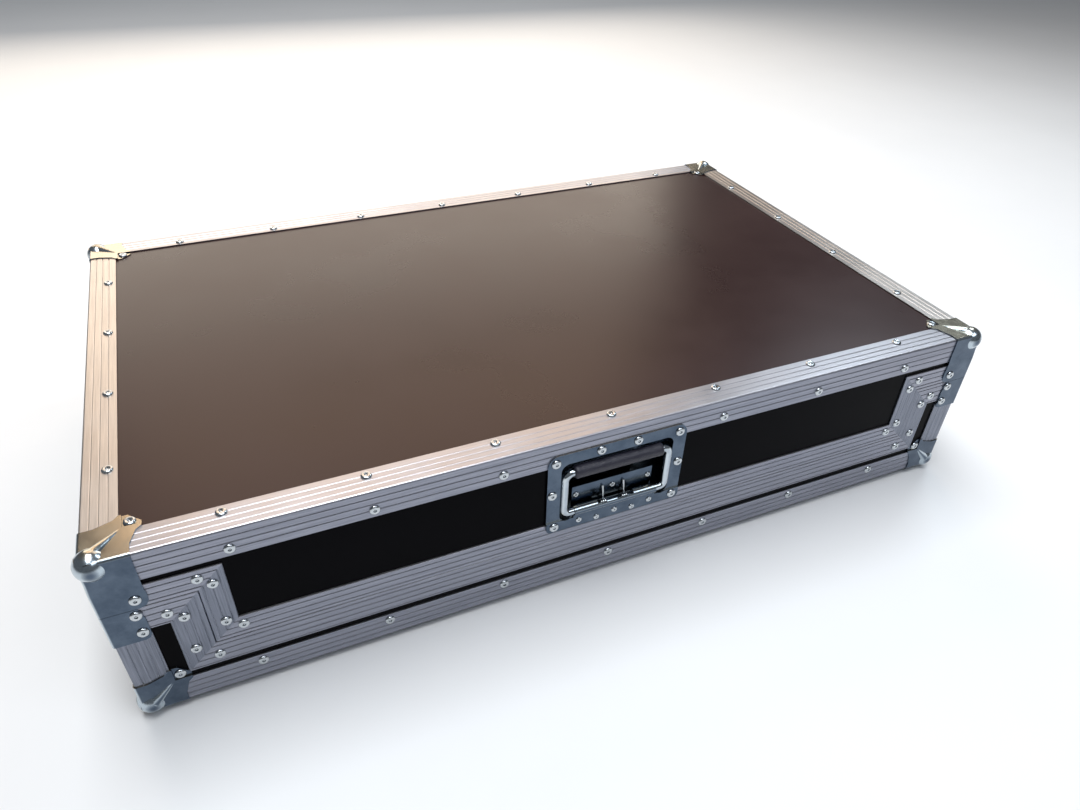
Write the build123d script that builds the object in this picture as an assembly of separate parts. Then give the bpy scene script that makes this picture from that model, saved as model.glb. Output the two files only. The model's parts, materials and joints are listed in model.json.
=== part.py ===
from build123d import *
import os

os.makedirs("parts", exist_ok=True)

# Flight case for a DJ controller, in millimetres, +Z up, front face towards -Y.
# Everything is drawn about the middle of the case and moved at the end, so that the
# origin lies under the middle of the whole object, on the floor.

# Case, measured over the aluminium edge angles
case_w = 946.0
case_d = 590.0
case_h = 196.0
foot_drop = 8.0  # how far the feet stand below the aluminium

# Plywood
ply_t = 9.0

# Edge angle: two ribbed legs with a rounded outer corner
angle_leg = 30.0
angle_t = 1.5
angle_r = 2.0
rib_first = 7.9
rib_pitch = 7.1
rib_w = 1.3
rib_deep = 0.42
post_leg = 31.0

# Parting rails: lid rail with a groove, base rail with a tongue
lid_side_h = 60.0  # from the top of the lid down to the seam, beside the corners
seam_drop = 70.0  # how much lower the seam runs in the middle of the front
seam_step_in = 75.0  # from the end of the case in to the step
seam_gap = 0.4
rail_proud = 0.5  # the rails stand this far outside the edge angles
lid_rail_w = 24.0
base_rail_w = 28.5
rail_edge = 0.5
lid_rib_first = 4.6
base_rib_first = 4.9
rail_leg_t = 1.5
rail_leg_h = 16.0
lid_web_t = 8.0
base_web_t = 3.0
tongue_w = 3.2
tongue_tip_w = 1.6
tongue_h = 4.8
tongue_play = 0.9
tongue_end_play = 0.8

# Ball corners and braces
plate_t = 1.2
plate_bend_r = 3.0
plate_edge = 38.0
plate_straight = 11.0
tab_neck = (43.0, 26.0)
tab_side = 30.0
tab_out = 47.5
tab_cut = 10.5
tab_wall_gap = 0.4
tab_rivet = 38.5
ball_r = 13.5
ball_proud = 5.5
ball_play = 0.3  # between the ball's inside and the pieces it covers
ridge_r = (7.0, 1.3)  # at the ball, and at the tip near the rivet tab
ridge_end = 31.0
long_leg_ramp = (21.0, 33.0)
long_leg_round = 7.0
brace_w = 31.0
brace_h = 39.0
brace_round = 6.0
brace_notch = 14.0  # the edge leans in from here up to the seam
brace_lean = 3.5
brace_play = 0.2
brace_rivet_x = 25.0
long_leg_rivet_x = 29.0
long_leg_rivet_up = 10.5  # above the seam
brace_rivets_down = (7.5, 29.0)  # below the seam

# Pop rivets
rivet_r = 5.1
rivet_h = 2.0
rivet_rim = 0.4
rivet_crown_r = 2.9
rivet_hole_r = 1.7
rivet_hole_deep = 1.2
rivet_bulge = 0.4
rivet_lip = 0.1
mandrel_r = 0.9
mandrel_h = 0.7
rivet_in = 21.8  # from the outer corner of the angle
front_rivets = 7
end_rivets = 4
front_row_in = 108.2  # from the end of the case to the first rivet of a long row
end_row_in = 112.6

# Handle in the lid's front: heights are above the seam there, and insets from its side edges
handle_w = 154.0
handle_low = 15.0
handle_high = 114.5
handle_t = 1.5
handle_top_r = 12.0
handle_low_r = 5.0
crank_z = 28.0  # below this the plate steps out over the parting rail
crank_out = 1.6
dish_w = 125.0
dish_top = 101.5
dish_low = 27.0
dish_r = 9.0
dish_t = 1.2
dish_deep = 26.0
dish_play = 0.5
hinge_z = 36.5
hinge_out = 1.5  # hinge axis, outside the edge angles
tube_half = 47.0
tube_t = 1.1
pocket_r = 7.2
pocket_x = 55.3
bail_wire_r = 4.0
bail_half = 58.0
bail_rise = 52.8
bail_top_r = 8.5
bail_low_r = 5.5
bail_play = 0.08
bail_inner_x = 22.0
grip_r = 7.2
grip_half = 49.2
grip_round = 2.0
grip_play = 0.05
hinge_plate_half = 46.0
hinge_plate_t = 1.5
hinge_plate_deep = 7.5
hinge_plate_top = 61.0
spring_x = 12.0
spring_coil_r = 3.6
spring_coil_w = 9.0
spring_wire_r = 1.2
spring_leg = 18.0
handle_rivets_at = ((8.5, 105.4), (56.6, 108.3), (5.5, 65.0), (8.3, 21.8))
flange_rivets_at = ((0.0, 23.0), (41.0, 23.0), (20.6, 19.8))
small_rivet_scale = 0.65
hinge_plate_rivet_x = 41.5
hinge_plate_rivet_z = 50.5

# Turn latches, one in the middle of each end: heights are above the seam there
latch_half_w = 56.0
latch_low = -71.0
latch_high = 28.2
latch_out = 3.2  # face of the tray's plate, outside the edge angle's face
recess_half_w = 46.0
recess_low = -61.0
recess_high = 21.0
recess_sheet = 0.9
latch_corner_r = 6.0
latch_rim_in = 3.0
cut_play = 0.3  # round the tray, in the plywood and rails
rim_play = 0.2
key_z = -37.0
key_r = 13.0
key_disc = (-0.9, 0.9)  # distances out from the edge angle's face
key_wing = (0.9, 2.8)
key_wing_half = 22.0
key_wing_w = 13.0
key_wing_r = 6.0
key_pin_r = 4.0
key_pin_play = 0.08
hook_pivot_z = -53.0
hook_pivot_n = -4.6
hook_pin_r = 2.0
hook_pin_play = 0.08
hook_eye_r = 3.8
hook_w = 26.0
hook_t = 1.8
hook_claw_z = 16.2
hook_claw_t = 2.0
hook_claw_in = -9.0
hook_window = (12.0, 18.0)
hook_swing = 5.0  # degrees, from released to closed
hook_ear_t = 2.0
hook_ear_out = 5.0  # from the hook's side to the end of its pin
keeper_bar = (-7.2, -6.0)
keeper_top = 15.3
keeper_h = 6.0
keeper_foot_t = 1.2
keeper_half_w = 15.0
latch_rivets_at = ((51.0, -65.5), (51.0, -36.0), (51.0, -7.0))
keeper_rivets_at = ((51.0, 7.5), (51.0, 22.0))

# Foam
foam_gap = 0.3
floor_foam_t = 20.0
side_foam_t = 12.0
side_foam_down = 19.0  # from the seam down to the top of the side pads
front_foam_down = 17.0
lid_foam_t = 20.0
lid_foam_in = 19.5

# Feet
foot_r = 19.0
foot_taper = 2.0
foot_in = 75.0
foot_screw_r = 4.0
foot_screw_t = 2.0
foot_recess_r = 7.0
foot_recess_deep = 5.0

# Planes worked out from the sizes above
z_low = foot_drop
z_high = foot_drop + case_h
x_out = case_w / 2
y_out = case_d / 2
x_rail = x_out + rail_proud
y_rail = y_out + rail_proud
rail_back = rail_proud + angle_t
panel_out = angle_t
panel_in = angle_t + ply_t
floor_top = z_low + panel_in
ceiling = z_high - panel_in
seam_high = case_h - lid_side_h
seam_low = seam_high - seam_drop
seam_step_x = x_out - seam_step_in
z_seam_high = z_low + seam_high
z_seam_low = z_low + seam_low
half_gap = seam_gap / 2
ball_in = ball_r - ball_proud

# The grip at the front and the ball corners at the back reach different distances out.
front_reach = hinge_out + grip_r
back_reach = max(rail_proud + plate_t + rivet_h, ball_proud)
y_shift = (front_reach - back_reach) / 2


def block(low, high):
    """A box between two corners."""
    size = [h - l for l, h in zip(low, high)]
    middle = [(h + l) / 2 for l, h in zip(low, high)]
    return Pos(*middle) * Box(*size)


def bar(outline, start, end, u_dir, v_dir):
    """An outline of (u, v) points carried in a straight line from start to end."""
    start = Vector(*start)
    end = Vector(*end)
    across = Vector(*u_dir)
    up = Vector(*v_dir)
    corners = [start + across * u + up * v for u, v in outline]
    return Solid.extrude(Face(Wire.make_polygon(corners)), end - start)


def trim(piece, point, away):
    """Cut a piece at a plane and drop the side that away points to."""
    return split(piece, bisect_by=Plane(origin=point, z_dir=away), keep=Keep.BOTTOM)


def flip_x(piece):
    """The same piece on the other side of the middle, left to right."""
    return mirror(piece, about=Plane.YZ)


def flip_y(piece):
    """The same piece on the other side of the middle, front to back."""
    return mirror(piece, about=Plane.XZ)


def four(piece):
    """A front left piece, and its mirror images at the other three corners."""
    pair = [piece, flip_x(piece)]
    return pair + [flip_y(p) for p in pair]


def solids_of(pieces):
    """Every separate solid in a nested list of shapes."""
    found = []
    for piece in pieces:
        if isinstance(piece, (list, tuple)):
            found += solids_of(piece)
        else:
            found += list(piece.solids())
    return found


def save(name, *pieces):
    """Write one sub-part, moved to the object's own origin."""
    solids = [Pos(0, y_shift, 0) * s for s in solids_of(pieces)]
    shape = solids[0] if len(solids) == 1 else Compound(children=solids)
    shape.label = name
    export_step(shape, "parts/" + name + ".step")


def ribs(first, low, high):
    """Points of a ribbed face as (depth, distance), between two distances."""
    points = []
    at = first
    while at + rib_w / 2 < high - 0.5:
        if at - rib_w / 2 > low:
            points += [(0, at - rib_w / 2), (rib_deep, at), (0, at + rib_w / 2)]
        at += rib_pitch
    return points


# Plywood box

relief_r = ball_r - plate_t - ball_play


def corner_relief(z_corner, z_way):
    """What the aluminium and plywood lose under a ball corner at the front left."""
    corner = (-x_out - 1, -y_out - 1, z_corner - z_way)
    inner = (-x_out + ball_in, -y_out + ball_in, z_corner + z_way * ball_in)
    low = [min(a, b) for a, b in zip(corner, inner)]
    high = [max(a, b) for a, b in zip(corner, inner)]
    return block(low, high) - Pos(*inner) * Sphere(relief_r)


relief_low = four(corner_relief(z_low, 1))
relief_high = four(corner_relief(z_high, -1))


def relieved(piece, tools):
    for tool in tools:
        piece = piece - tool
    return piece


x_ply = x_out - panel_out
y_ply = y_out - panel_out
x_in = x_out - panel_in
y_in = y_out - panel_in

base_floor = block((-x_ply, -y_ply, z_low + panel_out), (x_ply, y_ply, floor_top))
base_floor = relieved(base_floor, relief_low)
lid_top = block((-x_ply, -y_ply, ceiling), (x_ply, y_ply, z_high - panel_out))
lid_top = relieved(lid_top, relief_high)


def front_panel(z_edge, web, z_far):
    """A front panel with the stepped edge that its parting rail grips."""
    side = 1 if z_far > z_edge[0] else -1
    step = seam_step_x - side * web
    high = z_edge[0] + side * web
    low = z_edge[1] + side * web
    edge = [(-x_ply, high), (-step, high), (-step, low), (step, low), (step, high), (x_ply, high)]
    outline = edge + [(x_ply, z_far), (-x_ply, z_far)]
    return bar(outline, (0, -y_ply, 0), (0, -y_in, 0), (1, 0, 0), (0, 0, 1))


z_steps = (z_seam_high, z_seam_low)
base_front_panel = front_panel(z_steps, base_web_t, floor_top)
lid_front_panel = front_panel(z_steps, lid_web_t, ceiling)
base_edge_z = z_seam_high - base_web_t
lid_edge_z = z_seam_high + lid_web_t
base_back_panel = block((-x_ply, y_in, floor_top), (x_ply, y_ply, base_edge_z))
lid_back_panel = block((-x_ply, y_in, lid_edge_z), (x_ply, y_ply, ceiling))
base_left_panel = block((-x_ply, -y_in, floor_top), (-x_in, y_in, base_edge_z))
lid_left_panel = block((-x_ply, -y_in, lid_edge_z), (-x_in, y_in, ceiling))


# Edge angles

def angle_outline(leg):
    """Two ribbed legs that meet in an outer corner at (0, 0)."""
    face = ribs(rib_first, 0, leg)
    down = [(0, 0)] + face + [(0, leg), (angle_t, leg)]
    back = [(leg, angle_t), (leg, 0)] + [(v, u) for u, v in reversed(face)]
    return down + [(angle_t, angle_t)] + back


def edge_angle(start, end, u_dir, v_dir, leg=angle_leg):
    """A rounded edge angle, cut to a mitre at each end."""
    piece = bar(angle_outline(leg), start, end, u_dir, v_dir)
    middle = (Vector(*start) + Vector(*end)) * 0.5
    corner = piece.edges().sort_by_distance(middle)[0]
    return fillet(corner, angle_r)


def mitred(piece, start, end, u_dir):
    """Cut both ends of a bar at 45 degrees, seen from above."""
    along = (Vector(*end) - Vector(*start)).normalized()
    inward = Vector(*u_dir)
    piece = trim(piece, start, inward - along)
    return trim(piece, end, inward + along)


def angle_ring(z_corner, way, tools):
    """The front and left edge angles round one face of the case."""
    corner = (-x_out, -y_out, z_corner)
    right = (x_out, -y_out, z_corner)
    back = (-x_out, y_out, z_corner)
    front = edge_angle(corner, right, (0, 1, 0), (0, 0, way))
    left = edge_angle(corner, back, (1, 0, 0), (0, 0, way))
    front = mitred(front, corner, right, (0, 1, 0))
    left = mitred(left, corner, back, (1, 0, 0))
    return relieved(front, tools), relieved(left, tools)


base_edge_front, base_edge_left = angle_ring(z_low, 1, relief_low)
lid_edge_front, lid_edge_left = angle_ring(z_high, -1, relief_high)

post_low = z_low + angle_leg
post_high = z_seam_high - base_rail_w
lid_edge_back = flip_y(lid_edge_front)
corner_post = edge_angle(
    (-x_out, -y_out, post_low), (-x_out, -y_out, post_high), (1, 0, 0), (0, 1, 0), post_leg
)


# Parting rails, as (u, v): u inward from the rail's face, v away from the seam

leg_in = rail_back + ply_t
rail_depth = leg_in + rail_leg_t
tongue_mid = rail_back + ply_t / 2


def rail_outline(width, web, rib_first_at):
    """The rail's face, and the channel that grips the plywood."""
    low = half_gap
    face = [(rail_edge, low), (0, low + rail_edge)]
    face += ribs(rib_first_at, low + rail_edge, width - rail_edge)
    face += [(0, width - rail_edge), (rail_edge, width)]
    channel = [(rail_back, width), (rail_back, web), (leg_in, web)]
    inner_leg = [(leg_in, rail_leg_h), (rail_depth, rail_leg_h), (rail_depth, low)]
    return face + channel + inner_leg


groove_half = tongue_w / 2 + tongue_play
groove_top = tongue_h + tongue_end_play
groove = [
    (tongue_mid + groove_half, half_gap),
    (tongue_mid + groove_half, groove_top),
    (tongue_mid - groove_half, groove_top),
    (tongue_mid - groove_half, half_gap),
]
tongue = [
    (tongue_mid + tongue_w / 2, half_gap),
    (tongue_mid + tongue_tip_w / 2, -tongue_h),
    (tongue_mid - tongue_tip_w / 2, -tongue_h),
    (tongue_mid - tongue_w / 2, half_gap),
]
lid_rail_outline = rail_outline(lid_rail_w, lid_web_t, lid_rib_first) + groove
base_rail_outline = rail_outline(base_rail_w, base_web_t, base_rib_first) + tongue


def rails(outline, side):
    """Front low run, left riser, left front end, left rail and back rail of one body."""
    away = (0, 0, side)
    corner = (-x_rail, -y_rail, z_seam_high)
    top = (-seam_step_x, -y_rail, z_seam_high)
    bottom = (-seam_step_x, -y_rail, z_seam_low)
    over = 40.0
    slope = (1, 0, -1)
    inward = (0, 1, 0)

    end_run = bar(outline, corner, (top[0] + over, -y_rail, z_seam_high), inward, away)
    end_run = trim(end_run, corner, (-1, 1, 0))
    end_run = trim(end_run, top, slope)

    riser_start = (top[0], -y_rail, bottom[2] - over)
    riser_end = (top[0], -y_rail, top[2] + over)
    riser = bar(outline, riser_start, riser_end, inward, (side, 0, 0))
    riser = trim(riser, top, (-1, 0, 1))
    riser = trim(riser, bottom, slope)

    low_end = -bottom[0] + over
    low = bar(outline, (-low_end, -y_rail, bottom[2]), (low_end, -y_rail, bottom[2]), inward, away)
    low = trim(low, bottom, (-1, 0, 1))
    low = trim(low, (-bottom[0], -y_rail, bottom[2]), (1, 0, 1))

    left_end = (-x_rail, y_rail, z_seam_high)
    left = bar(outline, corner, left_end, (1, 0, 0), away)
    left = mitred(left, corner, left_end, (1, 0, 0))

    back_right = (x_rail, y_rail, z_seam_high)
    back = bar(outline, left_end, back_right, (0, -1, 0), away)
    back = mitred(back, left_end, back_right, (0, -1, 0))
    return low, riser, end_run, left, back


lid_low, lid_riser, lid_end_run, lid_left_rail, lid_back_rail = rails(lid_rail_outline, 1)
base_low, base_riser, base_end_run, base_left_rail, base_back_rail = rails(base_rail_outline, -1)


# Ball corners, drawn with their outer corner at the origin and a, b, c pointing into the case

reach = 60.0  # further than any of the corner's plates


def corner_outline():
    """One face of a ball corner, with its rivet tab at 45 degrees."""
    one = [
        (plate_edge, 0),
        (plate_edge, plate_straight),
        tab_neck,
        (tab_out, tab_side),
        (tab_out, tab_out - tab_cut),
    ]
    other = [(b, a) for a, b in reversed(one)]
    start = [(-plate_t, -plate_t), (plate_edge, -plate_t)]
    return start + one[1:] + other[:-1] + [(-plate_t, plate_edge)]


def prism(outline, face, low, high):
    """An outline on the ab, ac or bc face, between two distances along the third axis."""
    frames = {
        "ab": ((0, 0, 1), (1, 0, 0), (0, 1, 0)),
        "ac": ((0, 1, 0), (1, 0, 0), (0, 0, 1)),
        "bc": ((1, 0, 0), (0, 1, 0), (0, 0, 1)),
    }
    along, u_dir, v_dir = frames[face]
    start = [low * k for k in along]
    end = [high * k for k in along]
    return bar(outline, start, end, u_dir, v_dir)


def corner_body(outset, profile):
    """Two profiles of (out, c) crossed, so that both upright faces follow them."""
    outline = [(-outset - out, c) for out, c in profile]
    ends = [(reach, profile[-1][1]), (reach, profile[0][1])]
    return prism(outline + ends, "ac", -10, reach) & prism(outline + ends, "bc", -10, reach)


def post_section(out, c):
    """A square that reaches out past the corner, with that corner rounded."""
    side = reach + out
    middle = (reach - out) / 2
    square = Plane(origin=(middle, middle, c)) * Rectangle(side, side)
    return fillet(square.vertices().sort_by_distance((-out, -out, c))[0], plate_bend_r)


def rounded_body(profile):
    """The outside of a pressed corner, rounded on its three outer edges."""
    (out_0, c_0), (out_1, c_1) = profile[:2]
    first = extrude(post_section(plate_t + out_0, c_0), c_1 - c_0)
    top_edges = [
        e for e in first.edges() if abs(e.center().Z - c_0) < 0.01 and min(e.center().X, e.center().Y) < 0
    ]
    body = fillet(top_edges, plate_bend_r)
    for (out_a, c_a), (out_b, c_b) in zip(profile[1:], profile[2:]):
        if out_a == out_b:
            body += extrude(post_section(plate_t + out_a, c_a), c_b - c_a)
        else:
            body += loft([post_section(plate_t + out_a, c_a), post_section(plate_t + out_b, c_b)])
    return body


def ball_shell(profile, leg_outline):
    """Pressed corner: three plates, the ball and the stiffening ridges."""
    outer = rounded_body(profile)
    inner_profile = [(0, 0)] + profile[1:-1] + [(profile[-1][0], profile[-1][1] + 1)]
    inner = corner_body(0, inner_profile)
    cube = block((-10, -10, -10), (ball_in, ball_in, ball_in))
    centre = Pos(ball_in, ball_in, ball_in)
    outer = (outer - cube) + centre * Sphere(ball_r)
    hollow = (inner - cube) + centre * Sphere(ball_r - plate_t)

    outline = corner_outline()
    short = prism(outline, "ab", -8, 0)
    long_ac = prism(leg_outline, "ac", -8, 0)
    long_bc = prism(leg_outline, "bc", -8, 0)
    keep = short + long_ac + long_bc + block((-0.01, -0.01, -0.01), (ball_in, ball_in, ball_in))
    shell = (outer - hollow) & keep
    faces = ["ab"] if leg_outline is not outline_short else ["ab", "ac", "bc"]
    for face in faces:
        shell = add_ridge(shell, face, inner)
        shell = step_tab(shell, face, outline)
    return shell


def on_face(shape, face):
    """Turn a shape drawn on the ab face on to another face."""
    if face == "ac":
        return mirror(shape, about=Plane(origin=(0, 0, 0), z_dir=(0, 1, -1)))
    if face == "bc":
        return mirror(shape, about=Plane(origin=(0, 0, 0), z_dir=(1, 0, -1)))
    return shape


def add_ridge(shell, face, inner):
    """A tapered ridge from the ball towards the rivet tab."""
    start = Vector(ball_in, ball_in, ridge_r[0] - ball_proud)
    end = Vector(ridge_end, ridge_end, ridge_r[1] - plate_t)
    along = end - start
    plane = Plane(origin=(start + end) * 0.5, z_dir=along)
    ridge = plane.location * Cone(ridge_r[0], ridge_r[1], along.length)
    ridge = ridge + Pos(*end) * Sphere(ridge_r[1])
    ridge = on_face(ridge, face) - inner - Pos(ball_in, ball_in, ball_in) * Sphere(ball_r - plate_t / 2)
    return shell + ridge


def step_tab(shell, face, outline):
    """Press the rivet tab down on to the plywood."""
    wall = max(angle_leg, post_leg) + tab_wall_gap
    low = wall + plate_t
    tab = prism(outline, "ab", -plate_t, panel_out)
    foot = tab & block((wall, wall, -plate_t), (reach, reach, panel_out))
    hollow = block((low, low, -10), (reach, reach, panel_out - plate_t))
    foot = foot - hollow
    cut = on_face(hollow, face)
    return (shell - cut) + on_face(foot, face)


outline_short = corner_outline()
short_profile = [(0, -plate_t), (0, reach)]
ball_corner = ball_shell(short_profile, outline_short)

# The lid's corners have upright legs down to the seam, bent out over the rails.
leg_end = case_h - seam_high - half_gap
long_profile = [
    (0, -plate_t),
    (0, long_leg_ramp[0]),
    (rail_proud, long_leg_ramp[1]),
    (rail_proud, leg_end),
]
round_c = long_leg_round * 0.3
leg_outline = [
    (-plate_t - rail_proud, -plate_t),
    (plate_edge, -plate_t),
    (plate_edge, leg_end - 3 * long_leg_round),
    (plate_edge + 1, leg_end - 2 * long_leg_round),
    (plate_edge + 0.5, leg_end - long_leg_round),
    (plate_edge - round_c, leg_end - round_c),
    (plate_edge - long_leg_round, leg_end),
    (-plate_t - rail_proud, leg_end),
]
lid_corner = ball_shell(long_profile, leg_outline)


def brace_plate():
    """Corner brace on the base, from the seam down over the rail to the corner angle."""
    top = seam_high - half_gap
    bend = seam_high - base_rail_w - brace_play
    level = rail_proud + plate_t
    brace_bottom = seam_high - brace_h
    outer = block((-level, -level, brace_bottom), (reach, reach, top))
    outer = fillet(outer.edges().filter_by(Axis.Z).sort_by_distance((0, 0, top))[0], plate_bend_r)
    rail_room = block((-rail_proud, -rail_proud, bend), (reach + 1, reach + 1, top + 1))
    post_room = block((0, 0, brace_bottom - 1), (reach + 1, reach + 1, bend))
    outline = [
        (-10, brace_bottom),
        (brace_w - brace_round, brace_bottom),
        (brace_w - brace_round * 0.3, brace_bottom + brace_round * 0.3),
        (brace_w, brace_bottom + brace_round),
        (brace_w, top - brace_notch),
        (brace_w - brace_lean, top),
        (-10, top),
    ]
    keep = prism(outline, "ac", -level - 1, 0) + prism(outline, "bc", -level - 1, 0)
    return (outer - rail_room - post_room) & keep


# A corner is placed at the front left, for the lid turned upside down.
to_base = Pos(-x_out, -y_out, z_low)
base_corner_left = to_base * ball_corner
brace_left = to_base * brace_plate()
lid_corner_left = Pos(-x_out, -y_out, z_high) * mirror(lid_corner, about=Plane.XY)


# Pop rivets

def rivet_head(scale=1.0):
    """A domed rivet head with its mandrel hole, seated on z = 0."""
    edge = (rivet_r, rivet_rim)
    crown = (rivet_crown_r, rivet_h)
    middle = ((edge[0] + crown[0]) / 2, (edge[1] + crown[1]) / 2)
    bulge = (middle[0] + rivet_bulge, middle[1] + rivet_bulge)
    floor_z = rivet_h - rivet_hole_deep
    line = Polyline((0, 0), (rivet_r, 0), edge)
    dome = ThreePointArc(edge, bulge, crown)
    lip = (rivet_hole_r, rivet_h - rivet_lip)
    top = floor_z + mandrel_h
    foot = (mandrel_r, floor_z)
    shaft = (mandrel_r, top - mandrel_r / 3)
    hole = Polyline(crown, lip, (rivet_hole_r, floor_z), foot)
    mandrel = Polyline(foot, shaft, (mandrel_r / 2, top), (0, top), (0, 0))
    section = make_face([line, dome, hole, mandrel])
    head = revolve(Plane.XZ * section, axis=Axis.Z)
    return head.scale(scale) if scale != 1.0 else head


rivet = rivet_head()
small_rivet = rivet_head(small_rivet_scale)


def rivets(points, normal, head=None):
    """Rivet heads on a flat face, at points on that face."""
    shape = rivet if head is None else head
    return [Plane(origin=p, z_dir=normal).location * shape for p in points]


def spread(count, half):
    """Evenly spaced places from -half to half."""
    return [half * (2 * i / (count - 1) - 1) for i in range(count)]


long_row = spread(front_rivets, x_out - front_row_in)
short_row = spread(end_rivets, y_out - end_row_in)
x_row = x_out - rivet_in
y_row = y_out - rivet_in


def flat_face_rivets(z, way):
    """The rivets round the top or the bottom of the case."""
    found = []
    for side in (-1, 1):
        found += rivets([(x, side * y_row, z) for x in long_row], (0, 0, way))
        found += rivets([(side * x_row, y, z) for y in short_row], (0, 0, way))
    return found


def upright_rivets(z, skip_front_middle):
    """The rivets in the upright legs of the edge angles."""
    found = []
    for side in (-1, 1):
        hidden = skip_front_middle and side < 0
        places = [x for x in long_row if not (hidden and abs(x) < 1)]
        found += rivets([(x, side * y_out, z) for x in places], (0, side, 0))
        found += rivets([(side * x_out, y, z) for y in short_row], (side, 0, 0))
    return found


tab_face = plate_t - panel_out  # how far a tab's face lies outside the edge angles
long_leg_face = rail_proud + plate_t


def corner_rivets(z_face, way, upright_tabs):
    """Rivets in the tabs of the four ball corners of one body."""
    at = tab_rivet
    first = rivets([(-x_out + at, -y_out + at, z_face + way * tab_face)], (0, 0, way))
    if upright_tabs:
        first += rivets([(-x_out + at, -y_out - tab_face, z_face - way * at)], (0, -1, 0))
        first += rivets([(-x_out - tab_face, -y_out + at, z_face - way * at)], (-1, 0, 0))
    return [four(r) for r in first]


def plate_rivets(points):
    """Rivets through both plates of a long leg or brace, at (distance in, height)."""
    found = []
    for inward, z in points:
        front = rivets([(-x_out + inward, -y_out - long_leg_face, z_low + z)], (0, -1, 0))
        side = rivets([(-x_out - long_leg_face, -y_out + inward, z_low + z)], (-1, 0, 0))
        found += [four(r) for r in front + side]
    return found


def mitre_rivets(points):
    """Rivets either side of the mitres in the front rails, at (distance out, height)."""
    first = rivets([(-x, -y_rail, z_low + z) for x, z in points], (0, -1, 0))
    return [[r, flip_x(r)] for r in first]


# The rivets sit a little off the middle of each rail, on the flats between its ribs.
lid_mid = lid_rail_w / 2
base_mid = base_rail_w / 2
lid_mitre_points = (
    (seam_step_x - 2.4, seam_high + lid_mid + 2.0),
    (seam_step_x - lid_mid - 0.6, seam_high + 4.0),
    (seam_step_x - lid_mid - 1.4, seam_low + lid_rail_w),
    (seam_step_x - lid_rail_w - 2.5, seam_low + lid_mid + 2.0),
)
base_mitre_points = (
    (seam_step_x + base_rail_w - 0.5, seam_high - base_mid - 2.0),
    (seam_step_x + base_mid + 2.5, seam_high - base_rail_w + 2.5),
    (seam_step_x + base_mid + 2.5, seam_low),
    (seam_step_x, seam_low - base_mid - 2.0),
)


# Handle

y_face = -y_out
y_hinge = y_face - hinge_out
z_hinge = z_seam_low + hinge_z


def round_slab(x_half, z0, z1, y0, y1, r_top, r_low):
    """An upright plate with rounded corners."""
    slab = block((-x_half, y0, z0), (x_half, y1, z1))
    if r_top:
        slab = fillet(slab.edges().filter_by(Axis.Y).sort_by(Axis.Z)[-2:], r_top)
    if r_low:
        slab = fillet(slab.edges().filter_by(Axis.Y).sort_by(Axis.Z)[:2], r_low)
    return slab


dish_half = dish_w / 2
crank_top = z_seam_low + crank_z
z_dish_low = z_seam_low + dish_low
z_dish_top = z_seam_low + dish_top
z_pocket = z_dish_low + pocket_r


def opening_tool(grow, y0, y1):
    """The hole in the face plate: a window with a round pocket at each lower corner."""
    tool = round_slab(dish_half + grow, z_hinge, z_dish_top + grow, y0, y1, dish_r + grow, 0)
    r = pocket_r + grow
    for side in (-1, 1):
        x = side * pocket_x
        tool = tool + Pos(x, (y0 + y1) / 2, z_pocket) * Cylinder(r, y1 - y0, rotation=(90, 0, 0))
        tool = tool + block((x - r, y0, z_pocket), (x + r, y1, z_hinge + 1))
    return tool


def dish_room(grow):
    """The space inside the dish."""
    return round_slab(
        dish_half + grow, z_dish_low - grow, z_dish_top + grow,
        y_face - reach, y_face + dish_deep + grow, dish_r + grow, 0,
    )


def make_handle_plate():
    """Face plate with its dish and the rolled tube that holds the bail."""
    x_half = handle_w / 2
    z_high_edge = z_seam_low + handle_high
    z_low_edge = z_seam_low + handle_low
    y_flange = y_face - rail_proud
    y_front = y_face - crank_out - handle_t
    z_crank = crank_top - handle_t
    upper = round_slab(x_half, z_crank, z_high_edge, y_face - handle_t, y_face, handle_top_r, 0)
    lower = round_slab(x_half, z_low_edge, crank_top, y_front, y_flange, 0, handle_low_r)
    joggle = block((-x_half, y_front, z_crank), (x_half, y_face, crank_top))
    shell = dish_room(dish_t) - dish_room(0)
    shell = shell & block((-case_w, y_face, z_low), (case_w, y_out, z_high))
    plate = (upper + lower + joggle) - opening_tool(0, y_face - reach, y_face + 1) + shell
    tube_x = Plane(origin=(0, y_hinge, z_hinge), z_dir=(1, 0, 0)).location
    tube_r = bail_wire_r + bail_play + tube_t
    web = block((-tube_half, y_front, z_crank), (tube_half, y_hinge, z_hinge))
    plate = plate + web + tube_x * Cylinder(tube_r, 2 * tube_half)
    window_x = spring_x + spring_coil_w
    window_top = (window_x, y_hinge + tube_r, z_hinge + tube_r)
    window = block((-window_x, y_hinge - bail_wire_r, z_hinge), window_top)
    bore = tube_x * Cylinder(bail_wire_r + bail_play, 2 * pocket_x)
    return plate - bore - window


handle_plate = make_handle_plate()


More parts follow.
